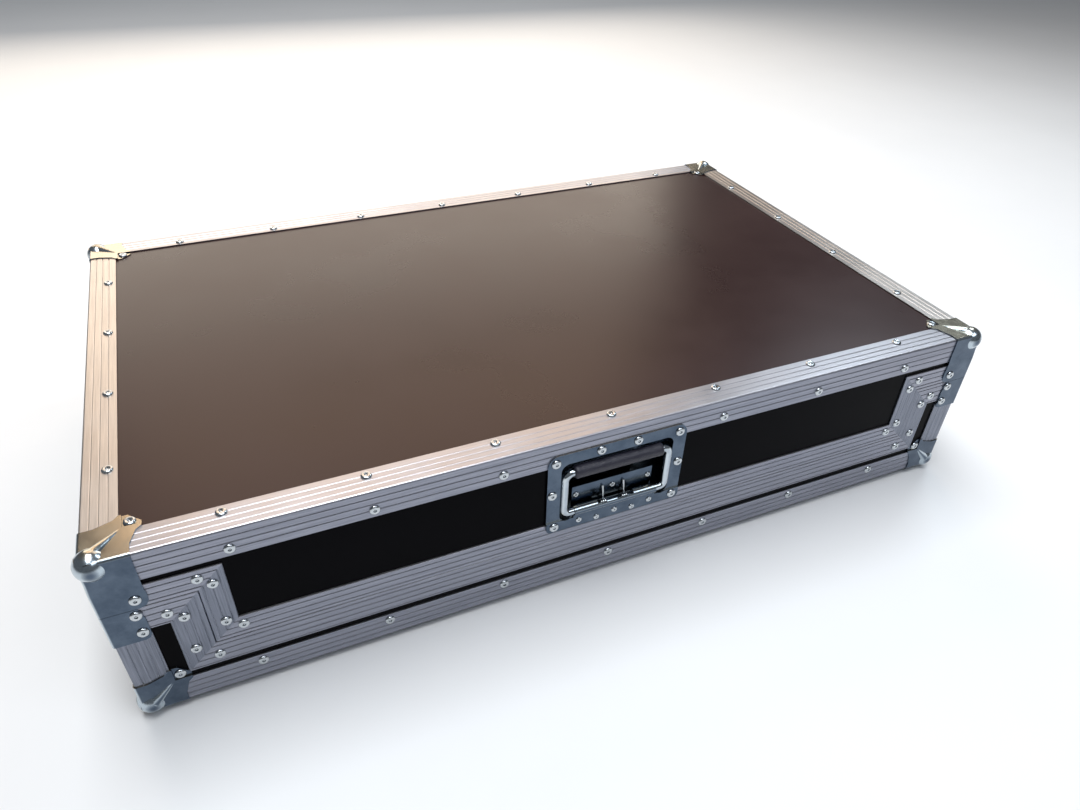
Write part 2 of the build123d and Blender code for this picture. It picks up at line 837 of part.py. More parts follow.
def make_bail():
    """Bent wire from one end in the tube, round over the grip, to the other end."""
    top = z_hinge + bail_rise
    flat = Plane(origin=(0, y_hinge, 0), x_dir=(1, 0, 0), z_dir=(0, -1, 0))
    corners = [
        ((-bail_half, z_hinge), (-1, 0), (0, 1), bail_low_r),
        ((-bail_half, top), (0, 1), (1, 0), bail_top_r),
        ((bail_half, top), (1, 0), (0, -1), bail_top_r),
        ((bail_half, z_hinge), (0, -1), (-1, 0), bail_low_r),
    ]
    at = (-bail_inner_x, z_hinge)
    runs = []
    for (x, z), come, go, r in corners:
        start = (x - come[0] * r, z - come[1] * r)
        end = (x + go[0] * r, z + go[1] * r)
        runs += [Line(at, start), TangentArc(start, end, tangent=come)]
        at = end
    runs.append(Line(at, (bail_inner_x, z_hinge)))
    path = flat * Wire(runs)
    start = Plane(origin=(-bail_inner_x, y_hinge, z_hinge), z_dir=(-1, 0, 0))
    return sweep(start * Circle(bail_wire_r), path=path)


bail = make_bail()
z_grip = z_hinge + bail_rise
grip_frame = Plane(origin=(0, y_hinge, z_grip), z_dir=(1, 0, 0)).location
grip = grip_frame * Cylinder(grip_r, 2 * grip_half)
grip = fillet(grip.edges(), grip_round)
grip = grip - grip_frame * Cylinder(bail_wire_r + grip_play, 2 * grip_half + 2)

y_hinge_plate = y_face + hinge_plate_deep - hinge_plate_t
hinge_plate = block(
    (-hinge_plate_half, y_hinge_plate, z_dish_low),
    (hinge_plate_half, y_hinge_plate + hinge_plate_t, z_seam_low + hinge_plate_top),
)


def make_spring(side):
    """A close-wound torsion spring in the tube's window, with its leg against the dish."""
    middle = Plane(origin=(side * spring_x, y_hinge, z_hinge), z_dir=(1, 0, 0)).location
    coil = middle * Cylinder(spring_coil_r, spring_coil_w)
    coil = coil - middle * Cylinder(spring_coil_r - 2 * spring_wire_r, spring_coil_w + 1)
    start = Vector(side * spring_x, y_hinge + spring_coil_r - spring_wire_r, z_hinge)
    end = Vector(side * spring_x, y_hinge_plate - spring_wire_r, z_hinge + spring_leg)
    along = end - start
    leg = Plane(origin=(start + end) * 0.5, z_dir=along).location * Cylinder(spring_wire_r, along.length)
    return coil + leg


springs = [make_spring(side) for side in (-1, 1)]


def handle_rivet_set():
    """Rivets through the face plate, its lower flange and the hinge plate."""
    found = []
    for inset, z in handle_rivets_at:
        x = handle_w / 2 - inset
        y = y_face - handle_t - (crank_out if z < crank_z else 0)
        for side in (-1, 1):
            found += rivets([(side * x, y, z_seam_low + z)], (0, -1, 0))
    for x, z in flange_rivets_at:
        sides = (-1, 1) if x else (1,)
        y = y_face - handle_t - crank_out
        for side in sides:
            found += rivets([(side * x, y, z_seam_low + z)], (0, -1, 0), small_rivet)
    for x in (-hinge_plate_rivet_x, 0, hinge_plate_rivet_x):
        place = (x, y_hinge_plate, z_seam_low + hinge_plate_rivet_z)
        found += rivets([place], (0, -1, 0), small_rivet)
    return found


# The lid's front panel and the edge angle over it are cut out for the dish.
dish_cut = dish_room(dish_t + dish_play)
lid_front_panel = lid_front_panel - dish_cut
lid_edge_front = lid_edge_front - dish_cut


# Turn latches, drawn on the right end: n is the distance out from the edge angle's face

def end_block(n, y, z):
    """A box on the right end, from (low, high) pairs of n, y and z above the seam."""
    return block((x_out + n[0], y[0], z_seam_high + z[0]), (x_out + n[1], y[1], z_seam_high + z[1]))


dish_back_n = -panel_in
edge_leg_low = lid_side_h - angle_leg


def rounded_plate(z0, z1, at_top):
    """Half of the latch's face plate, with its two outer corners rounded."""
    slab = end_block((rail_proud, latch_out), (-latch_half_w, latch_half_w), (z0, z1))
    edges = slab.edges().filter_by(Axis.X).sort_by(Axis.Z)
    return fillet(edges[-2:] if at_top else edges[:2], latch_corner_r)


def recess_shell(z0, z1, open_top):
    """The sunk tray of one half, open at the seam, and the room inside it."""
    grow = recess_sheet
    half = recess_half_w
    tray_z = (z0 - grow, z1) if open_top else (z0, z1 + grow)
    room_z = (z0, z1 + 1) if open_top else (z0 - 1, z1)
    room = end_block((dish_back_n + grow, reach), (-half, half), room_z)
    tray = end_block((dish_back_n, rail_proud), (-half - grow, half + grow), tray_z)
    return tray, room


def latch_rim(z0, z1):
    """What stands behind the plate, where it is clear of the rail, down to the plywood."""
    half = latch_half_w - latch_rim_in
    return end_block((-panel_out, rail_proud), (-half, half), (z0, z1))


base_tray, base_room = recess_shell(recess_low, -half_gap, True)
lid_tray, lid_room = recess_shell(half_gap, recess_high, False)
base_rim = latch_rim(latch_low + latch_rim_in, -base_rail_w - rim_play)
lid_rim = latch_rim(lid_rail_w + rim_play, min(edge_leg_low, latch_high) - rim_play)
latch_dish = (rounded_plate(latch_low, -half_gap, False) + base_rim + base_tray) - base_room
latch_keeper = (rounded_plate(half_gap, latch_high, True) + lid_rim + lid_tray) - lid_room

key_frame = Plane(origin=(x_out, 0, z_seam_high + key_z), z_dir=(1, 0, 0)).location


def key_cylinder(radius, n0, n1):
    """A round of the key, on its own axis."""
    return key_frame * Pos(0, 0, (n0 + n1) / 2) * Cylinder(radius, n1 - n0)


pin_end = dish_back_n + recess_sheet
latch_dish = latch_dish - key_cylinder(key_pin_r + key_pin_play, dish_back_n - 1, pin_end + 1)
key = key_cylinder(key_r, *key_disc) + key_cylinder(key_pin_r, dish_back_n, key_disc[0])
wing_z = (key_z - key_wing_w / 2, key_z + key_wing_w / 2)
wing = end_block(key_wing, (-key_wing_half, key_wing_half), wing_z)
wing = fillet(wing.edges().filter_by(Axis.X), key_wing_r)
key = key + wing

pivot_at = (x_out + hook_pivot_n, 0, z_seam_high + hook_pivot_z)
pivot_frame = Plane(origin=pivot_at, z_dir=(0, 1, 0)).location
pin_half = hook_w / 2 + hook_ear_out
hook_pin = pivot_frame * Cylinder(hook_pin_r, 2 * pin_half)
ear_z = (hook_pivot_z - hook_eye_r, hook_pivot_z + hook_eye_r)
for side in (-1, 1):
    y_ear = sorted((side * pin_half, side * (pin_half - hook_ear_t)))
    ear = end_block((pin_end, hook_pivot_n + hook_eye_r), y_ear, ear_z)
    latch_dish = latch_dish + ear
latch_dish = latch_dish + hook_pin

claw_face_n = hook_pivot_n + hook_t / 2
hook_high = hook_claw_z + hook_claw_t
hook_n = (claw_face_n - hook_t, claw_face_n)
hook = end_block(hook_n, (-hook_w / 2, hook_w / 2), (hook_pivot_z, hook_high))
claw_y = (-keeper_half_w, keeper_half_w)
hook = hook + end_block((hook_claw_in, claw_face_n), claw_y, (hook_claw_z, hook_high))
hook = hook + pivot_frame * Cylinder(hook_eye_r, hook_w)
window_y, window_z = (size / 2 for size in hook_window)
hook = hook - end_block((-reach, reach), (-window_y, window_y), (key_z - window_z, key_z + window_z))
hook = hook - pivot_frame * Cylinder(hook_pin_r + hook_pin_play, hook_w + 2)
# Stored released: the hook leans out, clear of the keeper.
hook = hook.rotate(Axis(pivot_at, (0, 1, 0)), hook_swing)

# The keeper is a small angle of its own, riveted to the back of the lid's tray.
keeper_low = keeper_top - keeper_h
keeper = end_block(keeper_bar, (-keeper_half_w, keeper_half_w), (keeper_low, keeper_top))
keeper = keeper + end_block(
    (pin_end, keeper_bar[1]), (-keeper_half_w, keeper_half_w), (keeper_low - keeper_foot_t, keeper_low)
)

# The plywood is cut out behind each half of the latch, and each side rail is in two lengths,
# one on either side of it.
cut_half = recess_half_w + recess_sheet + cut_play
cut_n = (-rail_depth, latch_out)
cut_low = recess_low - recess_sheet - cut_play
cut_high = recess_high + recess_sheet + cut_play
base_cut = end_block(cut_n, (-cut_half, cut_half), (cut_low, 1))
lid_cut = end_block(cut_n, (-cut_half, cut_half), (-1, cut_high))
rail_cut = end_block(cut_n, (-cut_half, cut_half), (-base_rail_w - 1, lid_rail_w + 1))


def latch_rivet_set(points):
    """Rivets down both sides of a latch plate."""
    found = []
    for y, z in points:
        for side in (-1, 1):
            found += rivets([(x_out + latch_out, side * y, z_seam_high + z)], (1, 0, 0))
    return found


base_right_panel = flip_x(base_left_panel) - base_cut
lid_right_panel = flip_x(lid_left_panel) - lid_cut
base_right_rail = flip_x(base_left_rail) - rail_cut
lid_right_rail = flip_x(lid_left_rail) - rail_cut


# Foam

foam_x = x_in - foam_gap
foam_y = y_in - foam_gap
strip_x = foam_x - side_foam_t
strip_y = foam_y - side_foam_t
pad_x = strip_x - foam_gap
pad_y = strip_y - foam_gap
base_foam_floor = block((-pad_x, -pad_y, floor_top), (pad_x, pad_y, floor_top + floor_foam_t))
side_high = z_seam_high - side_foam_down
front_high = z_seam_low - front_foam_down
foam_front = block((-foam_x, -foam_y, floor_top), (foam_x, -strip_y, front_high))
foam_back = block((-foam_x, strip_y, floor_top), (foam_x, foam_y, side_high))
foam_left = block((-foam_x, -pad_y, floor_top), (-strip_x, pad_y, side_high))
lid_foam_x = x_in - lid_foam_in
lid_foam_y = y_in - lid_foam_in
lid_foam = block((-lid_foam_x, -lid_foam_y, ceiling - lid_foam_t), (lid_foam_x, lid_foam_y, ceiling))


# Feet

foot_at = (-x_out + foot_in, -y_out + foot_in)
foot_h = foot_drop + panel_out
foot = Pos(0, 0, foot_h / 2) * Cone(foot_r - foot_taper, foot_r, foot_h)
foot = foot - Pos(0, 0, foot_recess_deep / 2) * Cylinder(foot_recess_r, foot_recess_deep)
foot_screw = Pos(0, 0, foot_recess_deep - foot_screw_t / 2) * Cylinder(foot_screw_r, foot_screw_t)
foot = Pos(*foot_at, 0) * foot
foot_screw = Pos(*foot_at, 0) * foot_screw


# Base
save("base_floor", base_floor)
save("base_front_panel", base_front_panel)
save("base_back_panel", base_back_panel)
save("base_left_panel", flip_x(base_right_panel))
save("base_right_panel", base_right_panel)
save("base_edge_front", base_edge_front)
save("base_edge_back", flip_y(base_edge_front))
save("base_edge_left", base_edge_left)
save("base_edge_right", flip_x(base_edge_left))
save("base_corner_angles", four(corner_post))
save("base_rail_front_low", base_low)
save("base_rail_risers", base_riser, flip_x(base_riser))
save("base_rail_front_ends", base_end_run, flip_x(base_end_run))
save("base_rail_left", flip_x(base_right_rail))
save("base_rail_right", base_right_rail)
save("base_rail_back", base_back_rail)
save("base_ball_corners", four(base_corner_left))
save("base_corner_braces", four(brace_left))
save(
    "base_rivets",
    flat_face_rivets(z_low, -1),
    upright_rivets(z_low + rivet_in, False),
    corner_rivets(z_low, -1, True),
    plate_rivets([(brace_rivet_x, seam_high - down) for down in brace_rivets_down]),
    mitre_rivets(base_mitre_points),
    [[r, flip_x(r)] for r in latch_rivet_set(latch_rivets_at)],
)
save("base_foam_floor", base_foam_floor)
save("base_foam_sides", foam_front, foam_back, foam_left, flip_x(foam_left))
save("rubber_feet", four(foot))
save("foot_screws", four(foot_screw))
save("latch_dish_right", latch_dish)
save("latch_dish_left", flip_x(latch_dish))
save("latch_key_right", key)
save("latch_key_left", flip_x(key))
save("latch_hook_right", hook)
save("latch_hook_left", flip_x(hook))

# Lid
save("lid_top", lid_top)
save("lid_front_panel", lid_front_panel)
save("lid_back_panel", lid_back_panel)
save("lid_left_panel", flip_x(lid_right_panel))
save("lid_right_panel", lid_right_panel)
save("lid_edge_front", lid_edge_front)
save("lid_edge_back", lid_edge_back)
save("lid_edge_left", lid_edge_left)
save("lid_edge_right", flip_x(lid_edge_left))
save("lid_rail_front_low", lid_low)
save("lid_rail_risers", lid_riser, flip_x(lid_riser))
save("lid_rail_front_ends", lid_end_run, flip_x(lid_end_run))
save("lid_rail_left", flip_x(lid_right_rail))
save("lid_rail_right", lid_right_rail)
save("lid_rail_back", lid_back_rail)
save("lid_ball_corners", four(lid_corner_left))
save(
    "lid_rivets",
    flat_face_rivets(z_high, 1),
    upright_rivets(z_high - rivet_in, True),
    corner_rivets(z_high, 1, False),
    plate_rivets([(long_leg_rivet_x, seam_high + long_leg_rivet_up)]),
    mitre_rivets(lid_mitre_points),
    [[r, flip_x(r)] for r in latch_rivet_set(keeper_rivets_at)],
)
save("lid_foam", lid_foam)
save("latch_keeper_right", latch_keeper, keeper)
save("latch_keeper_left", flip_x(latch_keeper), flip_x(keeper))

# Handle
save("handle_plate", handle_plate)
save("handle_bail", bail)
save("handle_grip", grip)
save("handle_hinge_plate", hinge_plate)
save("handle_springs", springs)
save("handle_rivets", handle_rivet_set())
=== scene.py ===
# %% [markdown]
# A flight case is a plywood box held together by aluminium angle, pressed steel corners
# and pop rivets. The shapes come from the CAD model, which this script loads as a fixed
# frame. What is added here is what the CAD leaves out: the finish of every surface, and
# finer versions of the grip, the springs and the foam.

# %% Load the CAD frame
import json
import math

import bmesh
import bpy
from mathutils import Matrix, Vector


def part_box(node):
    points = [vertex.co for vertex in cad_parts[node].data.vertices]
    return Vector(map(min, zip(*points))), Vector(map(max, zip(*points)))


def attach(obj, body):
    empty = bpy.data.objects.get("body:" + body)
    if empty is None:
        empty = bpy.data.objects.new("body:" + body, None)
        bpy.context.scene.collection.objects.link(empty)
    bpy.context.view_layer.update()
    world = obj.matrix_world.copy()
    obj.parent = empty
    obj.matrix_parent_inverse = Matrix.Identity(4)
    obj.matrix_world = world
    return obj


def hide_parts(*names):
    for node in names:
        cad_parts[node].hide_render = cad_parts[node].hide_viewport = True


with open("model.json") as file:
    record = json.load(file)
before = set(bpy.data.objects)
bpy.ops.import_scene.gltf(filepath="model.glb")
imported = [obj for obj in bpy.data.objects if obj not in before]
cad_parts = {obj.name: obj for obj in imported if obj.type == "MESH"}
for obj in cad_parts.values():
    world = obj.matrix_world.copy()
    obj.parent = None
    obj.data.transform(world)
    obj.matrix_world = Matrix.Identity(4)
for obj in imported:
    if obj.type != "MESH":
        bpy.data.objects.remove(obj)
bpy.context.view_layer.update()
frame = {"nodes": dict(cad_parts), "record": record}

# %% [markdown]
# The camera stands where the photographer stood: close to the near left corner, high
# enough to look down on the lid. A wide lens this near gives the strong perspective of
# the photograph. A new camera looks along its own -Z with +Y up in the picture, so its
# turn is the matrix whose columns are the picture's right, its up, and back towards the
# photographer. The picture's up isn't quite level: the camera was held a little askew.

# %% Camera
camera_place = Vector((-0.3179, -0.8018, 0.6766))
camera_view = Vector((0.3298, 0.7265, -0.6029)).normalized()
camera_right = Vector((0.9182, -0.3953, 0.0259)).normalized()
camera_lens_mm = 26.26
sensor_mm = 36.0
nearest_seen = 0.01

camera_data = bpy.data.cameras.new("camera")
camera_data.sensor_width = sensor_mm
camera_data.lens = camera_lens_mm
camera_data.clip_start = nearest_seen
camera = bpy.data.objects.new("camera", camera_data)
bpy.context.collection.objects.link(camera)
camera.location = camera_place
camera_up = camera_right.cross(camera_view)
turn = Matrix((camera_right, camera_up, -camera_view)).transposed()
camera.rotation_euler = turn.to_euler()
bpy.context.scene.camera = camera
print("camera at", tuple(camera.location), "with a", camera_lens_mm, "mm lens")

# %% [markdown]
# Bare metal has no colour of its own to speak of: it shows what is round it. Upright
# metal seen from above shows the floor in front of it, and the flat top shows the space
# behind. So one broad light hangs over the case and evens the floor out, and a low panel
# behind is there for the glossy lid to mirror. A warm panel over that one tints the top
# edges, a small cool one lifts the right end, and a weak one high in front draws the
# bright line along the bail, the grip, the rolled tube and every rivet head.

# %% Lights
room_colour = (0.86, 0.92, 1.0, 1.0)
room_strength = 0.14

world = bpy.data.worlds.new("studio")
bpy.context.scene.world = world
world.use_nodes = True
world_shade = world.node_tree.nodes["Background"]
world_shade.inputs["Color"].default_value = room_colour
world_shade.inputs["Strength"].default_value = room_strength
bpy.context.scene.view_settings.view_transform = "Standard"


def soft_light(name, place, target, size, watts, colour):
    """A large rectangular light that faces a point."""
    data = bpy.data.lights.new(name, "AREA")
    data.shape = "RECTANGLE"
    data.size, data.size_y = size
    data.energy = watts
    data.color = colour
    lamp = bpy.data.objects.new(name, data)
    lamp.location = place
    aim = Vector(target) - Vector(place)
    lamp.rotation_euler = aim.to_track_quat("-Z", "Y").to_euler()
    bpy.context.collection.objects.link(lamp)
    print("light", name, watts, "W")


lid_middle = (0.0, 0.0, 0.2)
front_middle = (0.1, -0.3, 0.12)
soft_light("overhead", (-0.3, 0.0, 2.9), lid_middle, (2.6, 1.2), 92.0, (0.94, 0.97, 1.0))
soft_light("behind_low", (0.15, 2.3, 1.0), lid_middle, (3.0, 1.05), 24.0, (1.0, 0.88, 0.74))
soft_light("behind_high", (0.2, 1.75, 1.85), lid_middle, (2.2, 0.6), 9.5, (1.0, 0.72, 0.5))
soft_light("right_high", (1.7, 0.7, 1.9), lid_middle, (0.7, 0.7), 14.0, (0.78, 0.9, 1.0))
soft_light("front_high", (0.7, -1.4, 1.8), front_middle, (1.3, 0.6), 9.0, (0.84, 0.9, 1.0))

# %% [markdown]
# The floor is a plain pale sheet, far larger than the view.

# %% Floor
floor_half = 12.0

floor_mesh = bpy.data.meshes.new("floor")
shape = bmesh.new()
bmesh.ops.create_grid(shape, x_segments=1, y_segments=1, size=floor_half)
shape.to_mesh(floor_mesh)
shape.free()
floor = bpy.data.objects.new("floor", floor_mesh)
bpy.context.collection.objects.link(floor)
print("floor", 2 * floor_half, "m wide")


# %% [markdown]
# Every finish below is a node material. These helpers keep the cells short: one starts a
# material round a Principled shader, one adds a node with its settings, and the others
# colour a value with a ramp, carry it over to another range, or bend the surface by it.
# A noise texture keeps mostly to the middle of its range, so the ramps start and end
# there.

# %% Material helpers
noise_low = 0.3
noise_high = 0.7


def start_material(name, colour, roughness, metallic=0.0):
    """A material with one Principled shader, set to even values."""
    material = bpy.data.materials.new(name)
    material.use_nodes = True
    shader = material.node_tree.nodes["Principled BSDF"]
    shader.inputs["Base Color"].default_value = (*colour, 1.0)
    shader.inputs["Roughness"].default_value = roughness
    shader.inputs["Metallic"].default_value = metallic
    print("material", name)
    return material, shader


def add_node(tree, kind, **settings):
    """A node with its attributes set, and its sockets where the name is a socket's."""
    node = tree.nodes.new(kind)
    for name, value in settings.items():
        label = name.replace("_", " ").title()
        if hasattr(node, name):
            setattr(node, name, value)
        else:
            node.inputs[label].default_value = value
    return node


def ramp(tree, source, low, high, starts=noise_low, ends=noise_high):
    """A colour ramp between two colours, each three numbers."""
    node = tree.nodes.new("ShaderNodeValToRGB")
    for item, place, colour in zip(node.color_ramp.elements, (starts, ends), (low, high)):
        item.position = place
        item.color = (*colour, 1.0)
    tree.links.new(source, node.inputs["Fac"])
    return node.outputs["Color"]


def remap(tree, source, from_min, from_max, to_min=0.0, to_max=1.0):
    """Carry a value over from one range to another, and hold it at the ends."""
    node = add_node(
        tree, "ShaderNodeMapRange",
        from_min=from_min, from_max=from_max, to_min=to_min, to_max=to_max,
    )
    tree.links.new(source, node.inputs["Value"])
    return node.outputs["Result"]


def add_bump(tree, shader, height, strength, distance):
    """Tilt a shader's surface by a height socket."""
    bump = add_node(tree, "ShaderNodeBump", strength=strength, distance=distance)
    tree.links.new(height, bump.inputs["Height"])
    tree.links.new(bump.outputs["Normal"], shader.inputs["Normal"])


def object_place(tree):
    return tree.nodes.new("ShaderNodeTexCoord").outputs["Object"]


# %% [markdown]
# Painted light follows the way a surface faces: the top of a case is painted paler, a
# painted highlight of the light above, and every bend is painted bright, a painted
# highlight. These helpers read the normal in the piece's own space, so the painted light
# stays put when the piece moves, and blend two colours by the result. The bent mask looks
# at the largest part of the normal: it is one on a flat side, and less round a bend.

# %% Facing masks
up_starts, up_full = 0.35, 0.95
flat_above, bent_below = 0.995, 0.86
# A Mix node has sockets for every kind of value, so the colour ones go by number.
mix_first, mix_second, mix_result = 6, 7, 2


def piece_normal(tree):
    return tree.nodes.new("ShaderNodeTexCoord").outputs["Normal"]


def split_axes(tree, vector):
    parts = tree.nodes.new("ShaderNodeSeparateXYZ")
    tree.links.new(vector, parts.inputs["Vector"])
    return parts.outputs


def upward_mask(tree):
    """How much a surface faces up."""
    height = split_axes(tree, piece_normal(tree))["Z"]
    return remap(tree, height, up_starts, up_full)


def bent_mask(tree):
    """How far a surface is turned away from all three axes."""
    size = add_node(tree, "ShaderNodeVectorMath", operation="ABSOLUTE")
    tree.links.new(piece_normal(tree), size.inputs[0])
    parts = split_axes(tree, size.outputs["Vector"])
    largest = parts["X"]
    for axis in "YZ":
        pick = add_node(tree, "ShaderNodeMath", operation="MAXIMUM")
        tree.links.new(largest, pick.inputs[0])
        tree.links.new(parts[axis], pick.inputs[1])
        largest = pick.outputs["Value"]
    return remap(tree, largest, flat_above, bent_below)


def blend_colours(tree, mask, first, second):
    """A mix of two colours, each a socket or three numbers, by a mask."""
    mix = add_node(tree, "ShaderNodeMix", data_type="RGBA")
    tree.links.new(mask, mix.inputs["Factor"])
    for index, value in ((mix_first, first), (mix_second, second)):
        if isinstance(value, tuple):
            mix.inputs[index].default_value = (*value, 1.0)
        else:
            tree.links.new(value, mix.inputs[index])
    return mix.outputs[mix_result]


# %% [markdown]
# Extruded aluminium has fine lines along its length, left by the die. The same streaks,
# weaker and shorter, are on rolled steel sheet. One node group makes both. It takes a
# place that the material has already stretched along the metal, and gives back a tone
# and a normal.

# %% Drawn streaks, a shared effect
streak_height = 0.0004


def group_socket(tree, name, way, kind, value=None):
    socket = tree.interface.new_socket(name=name, in_out=way, socket_type=kind)
    if value is not None:
        socket.default_value = value


def make_streaks():
    tree = bpy.data.node_groups.new("drawn_streaks", "ShaderNodeTree")
    group_socket(tree, "Place", "INPUT", "NodeSocketVector")
    group_socket(tree, "Depth", "INPUT", "NodeSocketFloat", 0.1)
    group_socket(tree, "Tone", "OUTPUT", "NodeSocketFloat")
    group_socket(tree, "Normal", "OUTPUT", "NodeSocketVector")
    ins = tree.nodes.new("NodeGroupInput")
    outs = tree.nodes.new("NodeGroupOutput")
    fine = add_node(tree, "ShaderNodeTexNoise", scale=9.0, detail=5.0, roughness=0.65)
    tree.links.new(ins.outputs["Place"], fine.inputs["Vector"])
    bump = add_node(tree, "ShaderNodeBump", distance=streak_height)
    tree.links.new(ins.outputs["Depth"], bump.inputs["Strength"])
    tree.links.new(fine.outputs["Fac"], bump.inputs["Height"])
    tree.links.new(fine.outputs["Fac"], outs.inputs["Tone"])
    tree.links.new(bump.outputs["Normal"], outs.inputs["Normal"])
    return tree


streaks = make_streaks()


def streaks_at(tree, scale, depth):
    """The streak group's outputs, with its place stretched by a scale for each axis."""
    node = tree.nodes.new("ShaderNodeGroup")
    node.node_tree = streaks
    node.inputs["Depth"].default_value = depth
    stretch = add_node(tree, "ShaderNodeMapping", scale=scale)
    tree.links.new(object_place(tree), stretch.inputs["Vector"])
    tree.links.new(stretch.outputs["Vector"], node.inputs["Place"])
    return node.outputs


# %% [markdown]
# A case that is carried picks up cloudy handling marks. They change how rough the surface
# is far more than its colour. This group gives one mask for them, and a larger size
# packs the clouds closer together.

# %% Handling marks, a shared effect
def make_marks():
    tree = bpy.data.node_groups.new("handling_marks", "ShaderNodeTree")
    group_socket(tree, "Place", "INPUT", "NodeSocketVector")
    group_socket(tree, "Size", "INPUT", "NodeSocketFloat", 6.0)
    group_socket(tree, "Clouds", "OUTPUT", "NodeSocketFloat")
    ins = tree.nodes.new("NodeGroupInput")
    outs = tree.nodes.new("NodeGroupOutput")
    cloud = add_node(tree, "ShaderNodeTexNoise", detail=6.0, roughness=0.6)
    tree.links.new(ins.outputs["Place"], cloud.inputs["Vector"])
    tree.links.new(ins.outputs["Size"], cloud.inputs["Scale"])
    tree.links.new(cloud.outputs["Fac"], outs.inputs["Clouds"])
    return tree


marks = make_marks()


def clouds_at(tree, size):
    """The handling marks' mask over the whole piece."""
    node = tree.nodes.new("ShaderNodeGroup")
    node.node_tree = marks
    node.inputs["Size"].default_value = size
    tree.links.new(object_place(tree), node.inputs["Place"])
    return node.outputs["Clouds"]


def vary_roughness(tree, shader, clouds, smooth, rough):
    """Let the clouds move a shader's roughness between two values."""
    spread = remap(tree, clouds, noise_low, noise_high, smooth, rough)
    tree.links.new(spread, shader.inputs["Roughness"])


# %% [markdown]
# Aluminium edging is left bare or clear anodised. The streaks have to run along each
# length, so there is one material for each direction. Each has three tints: the dark and
# the light of the streaks on its upright faces, and a paler one painted on its top, a
# painted highlight of the light above. The tints also carry painted light and shade: a cool
# painted reflection on the upright faces, a darker painted shade on the uprights, and a
# warm painted reflection on the tops of the lengths along Y.

# %% Aluminium
along_scale = 2.0
across_scale = 90.0
aluminium_streak_depth = 0.12
aluminium_cloud_size = 14.0
painted_top_streak_share = 0.8


def make_aluminium(name, along, dark, light, painted_top_light):
    material, shader = start_material(name, light, 0.35, 1.0)
    tree = material.node_tree
    scale = [across_scale] * 3
    scale[along] = along_scale
    lines = streaks_at(tree, tuple(scale), aluminium_streak_depth)
    sides = ramp(tree, lines["Tone"], dark, light)
    # Up-facing faces get the paler tint, a painted highlight of the light above.
    painted_top_streak = tuple(painted_top_streak_share * part for part in painted_top_light)
    top = ramp(tree, lines["Tone"], painted_top_streak, painted_top_light)
    tone = blend_colours(tree, upward_mask(tree), sides, top)
    tree.links.new(tone, shader.inputs["Base Color"])
    vary_roughness(tree, shader, clouds_at(tree, aluminium_cloud_size), 0.31, 0.41)
    tree.links.new(lines["Normal"], shader.inputs["Normal"])
    return material


# The tints per direction are painted light and shade on one metal: the uprights darker, the
# tops along Y warm.
aluminium = [
    make_aluminium(
        "aluminium_along_x", 0, (0.22, 0.23, 0.275), (0.35, 0.36, 0.42), (0.50, 0.48, 0.50)
    ),
    make_aluminium(
        "aluminium_along_y", 1, (0.24, 0.25, 0.28), (0.37, 0.38, 0.41), (0.62, 0.565, 0.52)
    ),
    make_aluminium(
        "aluminium_along_z", 2, (0.14, 0.155, 0.19), (0.27, 0.285, 0.34), (0.50, 0.50, 0.50)
    ),
]


# %% [markdown]
# The corners, the handle and the latches are pressed from sheet steel, zinc plated and
# passivated. That thin film gives the colour: blue where the sheet is upright. Where it
# faces up it is painted straw gold, a painted highlight of the warm light above, and bends
# and rounded faces are painted bright, a painted highlight. All three follow which way the
# surface faces. The bail is made the same way but polished, so it is brighter all over.

# %% Zinc plated steel
steel_stretch = (14.0, 14.0, 70.0)
steel_streak_depth = 0.05
steel_cloud_size = 55.0


def make_plated(name, dark, light, painted_warm_top, bright, smooth, rough):
    material, shader = start_material(name, light, smooth, 1.0)
    tree = material.node_tree
    clouds = clouds_at(tree, steel_cloud_size)
    tone = ramp(tree, clouds, dark, light)
    # Up-facing faces are painted gold, a painted highlight of the warm light above; bends
    # and rounded faces are painted bright, a painted highlight.
    tone = blend_colours(tree, upward_mask(tree), tone, painted_warm_top)
    tone = blend_colours(tree, bent_mask(tree), tone, bright)
    tree.links.new(tone, shader.inputs["Base Color"])
    vary_roughness(tree, shader, clouds, smooth, rough)
    lines = streaks_at(tree, steel_stretch, steel_streak_depth)
    tree.links.new(lines["Normal"], shader.inputs["Normal"])
    return material


plated = make_plated(
    "zinc_plated_steel",
    dark=(0.060, 0.083, 0.118), light=(0.115, 0.148, 0.195),
    painted_warm_top=(0.50, 0.455, 0.36), bright=(0.50, 0.57, 0.62),
    smooth=0.16, rough=0.27,
)
plated_wire = make_plated(
    "zinc_plated_wire",
    dark=(0.35, 0.40, 0.45), light=(0.55, 0.60, 0.65),
    painted_warm_top=(0.6, 0.6, 0.58), bright=(0.6, 0.65, 0.68),
    smooth=0.1, rough=0.18,
)


# %% [markdown]
# Rivets are the brightest things on the case: small domes of bare aluminium, each with a
# steel pin in the middle.

# %% Rivet metal
rivet_colour = (0.55, 0.58, 0.6)
rivet_cloud_size = 120.0


def make_rivet_metal():
    material, shader = start_material("rivet_metal", rivet_colour, 0.2, 1.0)
    tree = material.node_tree
    vary_roughness(tree, shader, clouds_at(tree, rivet_cloud_size), 0.14, 0.3)
    return material


rivet_metal = make_rivet_metal()


# %% [markdown]
# The plywood is faced with a smooth brown-black resin film. Seen from above it is a warm
# brown that mirrors the room softly, and it carries faint wipe marks. The same film on
# the sides is in the case's own shade and reads as plain black. So one function makes
# both, and the sides get a darker colour and a weaker gloss. The film follows the grain
# under it by a hair, like orange peel.

# %% Film faced plywood
film_cloud_size = 5.0
peel_scale = 180.0
peel_strength = 0.008
peel_height = 0.0002


